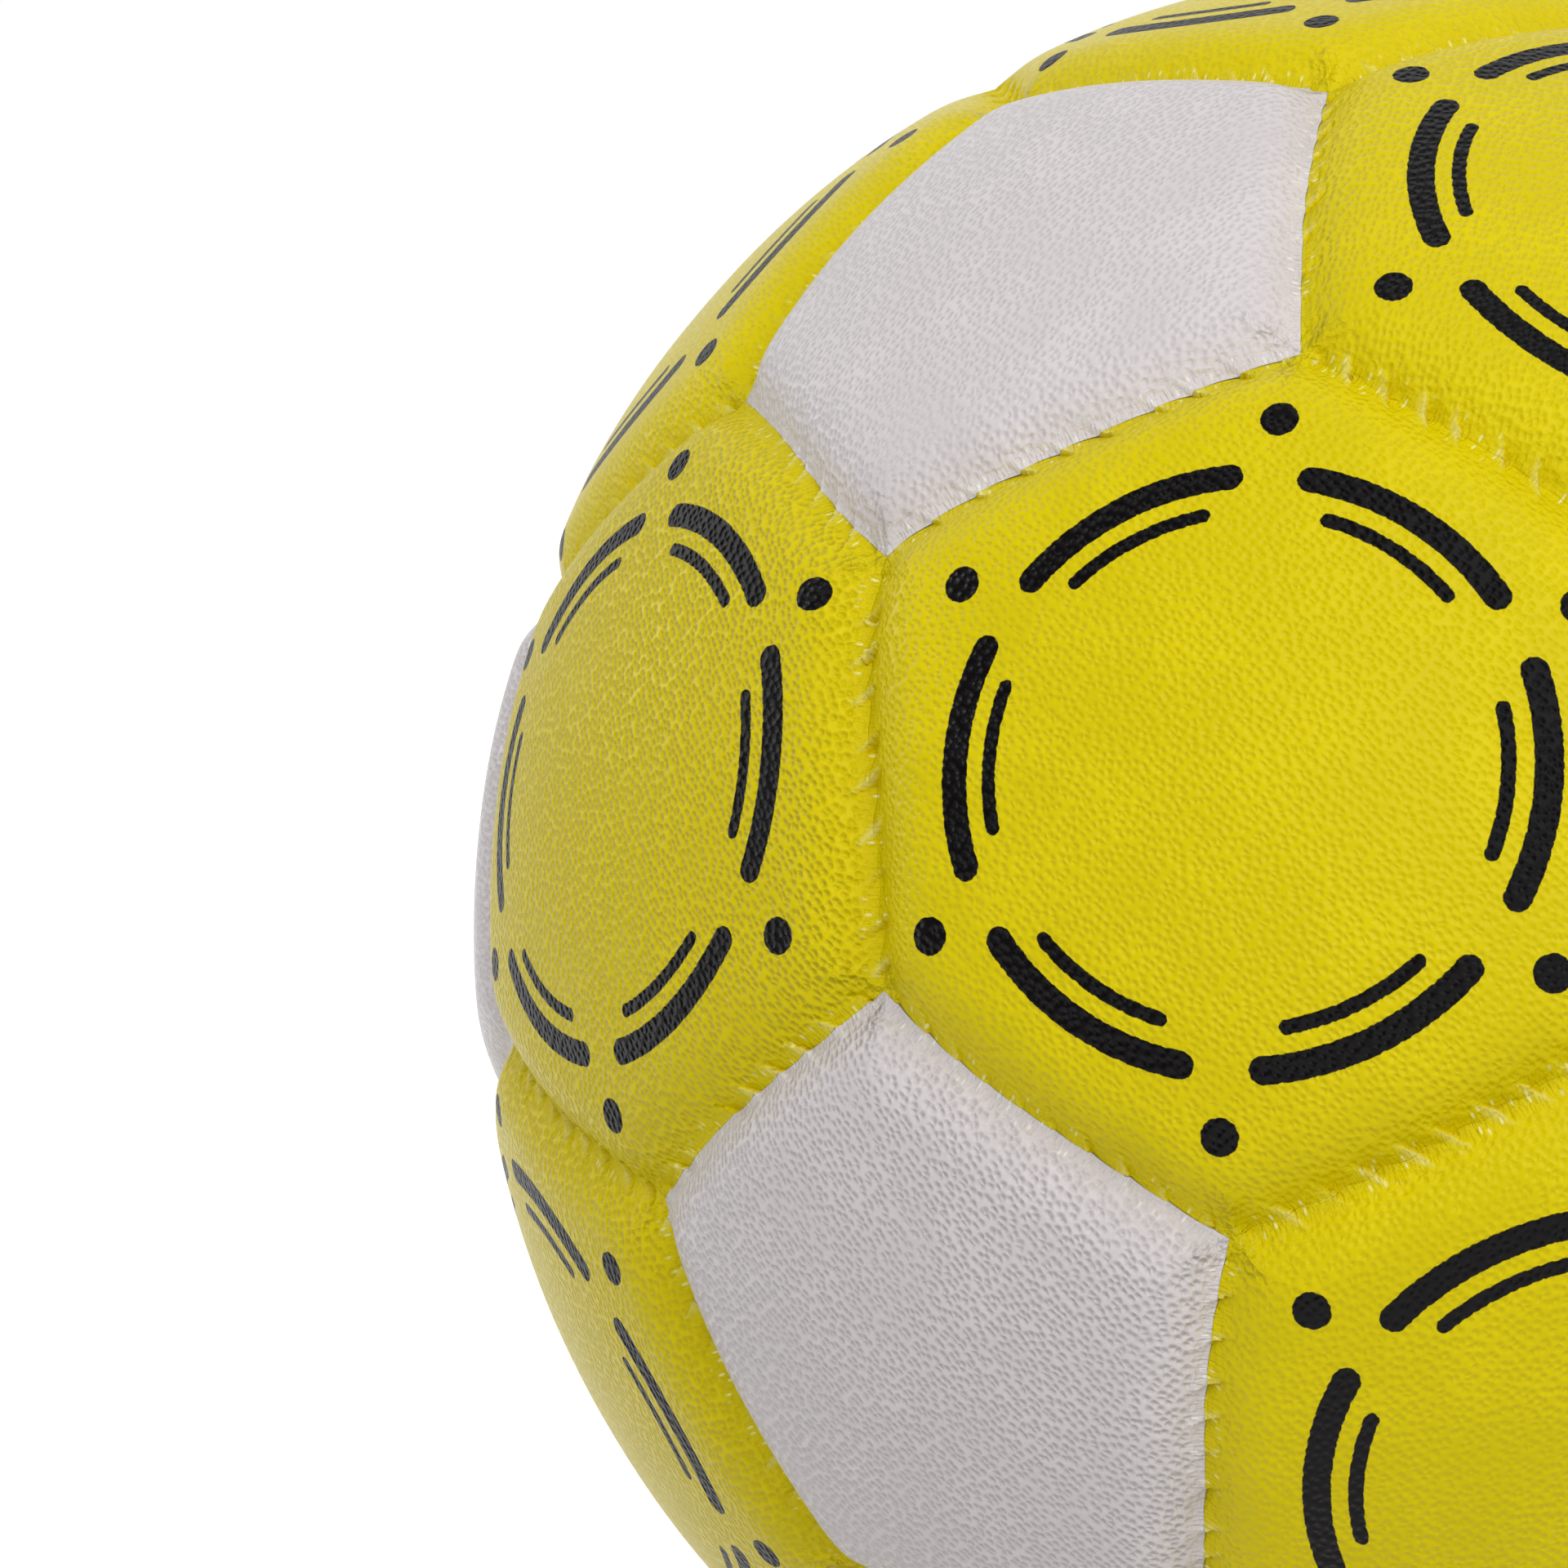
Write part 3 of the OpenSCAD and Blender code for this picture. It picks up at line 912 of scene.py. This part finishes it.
def leather(name, colour, pit_shade_colour, glint_colour, grain_depth, shine, printed):
    """Grained synthetic leather that grows smooth, wrinkled and duller towards its seams."""
    material, tree = new_material(name)
    sheet = attribute(tree, "grain_place")
    beside = attribute(tree, "seam_place")
    distance = add(tree, "ShaderNodeSeparateXYZ", {0: beside}).outputs[1]
    cells = grain(tree, sheet)
    patches = noise(tree, sheet, PATCH_SCALE, 3.0, "2D")
    fine = noise(tree, sheet, FINE_SCALE, 2.0, "2D")
    height, depth = leather_relief(tree, sheet, beside, cells, patches, fine)
    bump = relief(tree, height, grain_depth)

    # Colour: painted shade in the dimples, faint grime, painted glints, and ink over them
    dimple = maths(tree, "MULTIPLY", maths(tree, "SUBTRACT", 1.0, cells), depth)
    # The dimples darken with their depth: painted shade in the grain's pits
    surface = mix_colour(tree, dimple, colour, pit_shade_colour)
    surface = scaled(tree, surface, smooth_step(tree, patches, *GRIME_RANGE, *GRIME_SHADES))
    surface = mix_colour(tree, leather_glints(tree, beside), surface, glint_colour)
    roughness = smooth_step(tree, distance, *ROUGHNESS_RANGE, ROUGHNESS_AT_SEAM, ROUGHNESS)
    if printed:
        ink = leather_ink(tree, distance, cells, fine)
        surface = mix_colour(tree, ink, surface, INK)
        roughness = mix_number(tree, ink, roughness, INK_ROUGHNESS)
    finish_material(tree, surface, roughness, bump, shine)
    return material


DUST_SCALE = 6.0
DUST_SHARE = 0.3
BLOOM_RANGE = (0.35, 0.75)
RUBBER_RELIEF = 0.04
RUBBER_RELIEF_STRENGTH = 0.6
RUBBER_DULLNESS_RANGE = (0.3, 0.7)


def rubber(name, colour, bloom_colour, bloom_scale, roughnesses):
    """Moulded rubber with a faint bloom on it."""
    material, tree = new_material(name)
    place = millimetre_coordinates(tree)
    bloom = noise(tree, place, bloom_scale, 4.0)
    dust = noise(tree, place, DUST_SCALE, 2.0)
    surface = mix_colour(tree, smooth_step(tree, bloom, *BLOOM_RANGE), colour, bloom_colour)
    height = maths(tree, "MULTIPLY_ADD", dust, DUST_SHARE, bloom)
    bump = relief(tree, height, RUBBER_RELIEF, RUBBER_RELIEF_STRENGTH)
    roughness = smooth_step(tree, bloom, *RUBBER_DULLNESS_RANGE, *roughnesses)
    finish_material(tree, surface, roughness, bump)
    return material


FOAM_CELL = 0.45
FOAM_SMOOTHNESS = 0.3
FOAM_CELL_RANGE = (0.0, 0.6)
FOAM_PATCH_SCALE = 0.15
FOAM_PATCH_RANGE = (0.3, 0.7)
FOAM_PATCH_SHADES = (0.94, 1.0)
FOAM_RELIEF = 0.2
FOAM_ROUGHNESS = 0.9
FOAM_SHINE = 0.2
FOAM_DARK = linear(214, 204, 178)
FOAM_PALE = linear(240, 234, 214)


def foam_material():
    """Open foam: small round cells with thin walls."""
    material, tree = new_material("foam")
    place = millimetre_coordinates(tree)
    inputs = {"Vector": place, "Scale": 1 / FOAM_CELL, "Smoothness": FOAM_SMOOTHNESS}
    cells = add(tree, "ShaderNodeTexVoronoi", inputs, feature="SMOOTH_F1").outputs["Distance"]
    patches = noise(tree, place, FOAM_PATCH_SCALE, 3.0)
    surface = mix_colour(tree, smooth_step(tree, cells, *FOAM_CELL_RANGE), FOAM_DARK, FOAM_PALE)
    surface = scaled(tree, surface, smooth_step(tree, patches, *FOAM_PATCH_RANGE, *FOAM_PATCH_SHADES))
    finish_material(tree, surface, FOAM_ROUGHNESS, relief(tree, cells, FOAM_RELIEF), FOAM_SHINE)
    return material


YARN_PITCH = 0.6
FIBRE_STRETCH = (8.0, 1.5, 8.0)
FIBRE_SHARE = 0.6
YARN_RANGE = (-0.8, 1.2)
YARN_RELIEF = 0.08
YARN_ROUGHNESS = 0.92
YARN_SHINE = 0.15
YARN_DARK = linear(206, 203, 196)
YARN_PALE = linear(232, 230, 224)


def lining_material():
    """Woven cotton: yarns that pass over and under each other, with loose fibres."""
    material, tree = new_material("lining")
    place = millimetre_coordinates(tree)
    x, y, z = add(tree, "ShaderNodeSeparateXYZ", {0: place}).outputs
    warp = maths(tree, "SINE", maths(tree, "MULTIPLY", maths(tree, "ADD", x, z), math.pi / YARN_PITCH))
    weft = maths(tree, "SINE", maths(tree, "MULTIPLY", maths(tree, "SUBTRACT", y, z), math.pi / YARN_PITCH))
    weave = maths(tree, "MULTIPLY", warp, weft)
    fibres = noise(tree, stretched(tree, place, FIBRE_STRETCH), 1.0, 2.0)
    height = maths(tree, "MULTIPLY_ADD", fibres, FIBRE_SHARE, weave)
    surface = mix_colour(tree, smooth_step(tree, height, *YARN_RANGE), YARN_DARK, YARN_PALE)
    finish_material(tree, surface, YARN_ROUGHNESS, relief(tree, height, YARN_RELIEF), YARN_SHINE)
    return material


STRAND_PITCH = 0.5
STRAND_FIBRE_SCALE = 7.0
STRAND_FIBRE_SHARE = 0.5
STRAND_RANGE = (-1.0, 1.4)
STRAND_RELIEF = 0.05
THREAD_ROUGHNESS = 0.5
THREAD_DARK = linear(205, 199, 180)
THREAD_PALE = linear(238, 234, 222)


def thread_material():
    """Waxed polyester thread, twisted from strands."""
    material, tree = new_material("thread")
    place = millimetre_coordinates(tree)
    x, y, z = add(tree, "ShaderNodeSeparateXYZ", {0: place}).outputs
    slanted = maths(tree, "ADD", maths(tree, "ADD", x, y), z)
    strands = maths(tree, "SINE", maths(tree, "MULTIPLY", slanted, 2 * math.pi / STRAND_PITCH))
    fibres = noise(tree, place, STRAND_FIBRE_SCALE, 3.0)
    height = maths(tree, "MULTIPLY_ADD", fibres, STRAND_FIBRE_SHARE, strands)
    surface = mix_colour(tree, smooth_step(tree, height, *STRAND_RANGE), THREAD_DARK, THREAD_PALE)
    finish_material(tree, surface, THREAD_ROUGHNESS, relief(tree, height, STRAND_RELIEF))
    return material


yellow_leather = leather(
    "yellow leather", YELLOW, YELLOW_PIT_SHADE, YELLOW_GLINT, YELLOW_GRAIN_DEPTH, YELLOW_SHINE, printed=True)
white_leather = leather(
    "white leather", WHITE, WHITE_PIT_SHADE, WHITE_GLINT, WHITE_GRAIN_DEPTH, WHITE_SHINE, printed=False)
panels = all_panels()
hexagons = [p for p in panels if len(p["corners"]) == 6]
pentagons = [p for p in panels if len(p["corners"]) == 5]
for number, p in enumerate(panels):
    if len(p["corners"]) == 5:
        panel_piece(p, number, white_leather)
    else:
        panel_piece(p, number, yellow_leather)

foam = foam_material()
lining = lining_material()
for kind, under in (("hexagon", hexagons), ("pentagon", pentagons)):
    pads = layers_piece(f"{kind}_foam_pads", under, foam_top, FOAM_BOTTOM_RADIUS, foam)
    layers_piece(f"{kind}_linings", under, lining_top, LINING_BOTTOM_RADIUS, lining)

inner_materials = {
    "seam_thread": thread_material(),
    "bladder": rubber(
        "latex", linear(30, 30, 33), linear(58, 57, 58), bloom_scale=0.15, roughnesses=(0.42, 0.58)),
    "valve_boot": rubber(
        "boot rubber", linear(34, 34, 35), linear(50, 50, 50), bloom_scale=0.6, roughnesses=(0.5, 0.62)),
    "valve_core": rubber(
        "core rubber", linear(24, 24, 25), linear(38, 38, 38), bloom_scale=0.9, roughnesses=(0.3, 0.42)),
}
for name, material in inner_materials.items():
    for index in range(len(frame["nodes"][name].data.materials)):
        frame["nodes"][name].data.materials[index] = material

# Floor, light and camera, with places and sizes in metres
FLOOR_SIZE = 40.0
FLOOR_GLOW = 0.82
FLOOR_COLOUR = (0.64, 0.64, 0.64, 1.0)
BACKDROP_WAY = (-0.618, 0.774, 0.1)
BACKDROP_EDGE = (-0.2, 0.5)
BACKDROP_LIGHT = 1.0
ROOM_LIGHT = 0.02
SOFT_LIGHT = 0.345


def floor():
    bpy.ops.mesh.primitive_plane_add(size=FLOOR_SIZE, location=(0, 0, -CROWN_RADIUS * MM))
    made = bpy.context.object
    made.name = "floor"
    material, tree = new_material("pale floor")
    path = add(tree, "ShaderNodeLightPath").outputs
    seen = maths(tree, "MAXIMUM", path["Is Camera Ray"], path["Is Transmission Ray"])
    seen = maths(tree, "MAXIMUM", seen, path["Is Glossy Ray"])
    diffuse = add(tree, "ShaderNodeBsdfDiffuse", {"Color": FLOOR_COLOUR}).outputs[0]
    glow = add(tree, "ShaderNodeEmission", {"Strength": maths(tree, "MULTIPLY", seen, FLOOR_GLOW)}).outputs[0]
    both = add(tree, "ShaderNodeAddShader", {0: diffuse, 1: glow}).outputs[0]
    add(tree, "ShaderNodeOutputMaterial", {"Surface": both})
    made.data.materials.append(material)


def world():
    """White to the camera. Reflections see a white backdrop behind the ball and a dimmer room before it."""
    made = bpy.data.worlds.new("studio")
    bpy.context.scene.world = made
    made.use_nodes = True
    tree = made.node_tree
    tree.nodes.clear()
    path = add(tree, "ShaderNodeLightPath").outputs
    way = add(tree, "ShaderNodeTexCoord").outputs["Generated"]
    facing = add(tree, "ShaderNodeVectorMath", {0: way, 1: BACKDROP_WAY}, operation="DOT_PRODUCT")
    facing = facing.outputs["Value"]
    reflected = smooth_step(tree, facing, *BACKDROP_EDGE, ROOM_LIGHT, BACKDROP_LIGHT)
    strength = mix_number(tree, path["Is Glossy Ray"], SOFT_LIGHT, reflected)
    straight = maths(tree, "MAXIMUM", path["Is Camera Ray"], path["Is Transmission Ray"])
    strength = mix_number(tree, straight, strength, 1.0)
    background = add(tree, "ShaderNodeBackground", {"Color": (1, 1, 1, 1), "Strength": strength})
    add(tree, "ShaderNodeOutputWorld", {"Surface": background.outputs[0]})


def lamp(name, place, size, power, in_gloss=True):
    light = bpy.data.lights.new(name, "AREA")
    light.energy = power
    light.size = size
    made = bpy.data.objects.new(name, light)
    bpy.context.scene.collection.objects.link(made)
    made.location = place
    made.rotation_euler = (-Vector(place)).to_track_quat("-Z", "Y").to_euler()
    made.visible_glossy = in_gloss


def camera():
    data = bpy.data.cameras.new("camera")
    data.lens = CAMERA_LENS
    data.sensor_width = CAMERA_SENSOR
    data.clip_start = CAMERA_NEAREST
    made = bpy.data.objects.new("camera", data)
    bpy.context.scene.collection.objects.link(made)
    made.matrix_world = camera_turn().to_4x4()
    made.location = CAMERA_PLACE
    bpy.context.scene.camera = made


floor()
world()
lamp("key", (1.0, -0.6, 0.95), size=1.6, power=17.8)
lamp("fill", (-0.5, -1.3, 0.5), size=1.2, power=2.5, in_gloss=False)
lamp("rim", (-1.35, -0.23, 0.6), size=0.5, power=2.8)
lamp("back", (-0.7, 1.2, 0.8), size=1.6, power=5, in_gloss=False)
camera()
bpy.context.scene.view_settings.view_transform = "Standard"
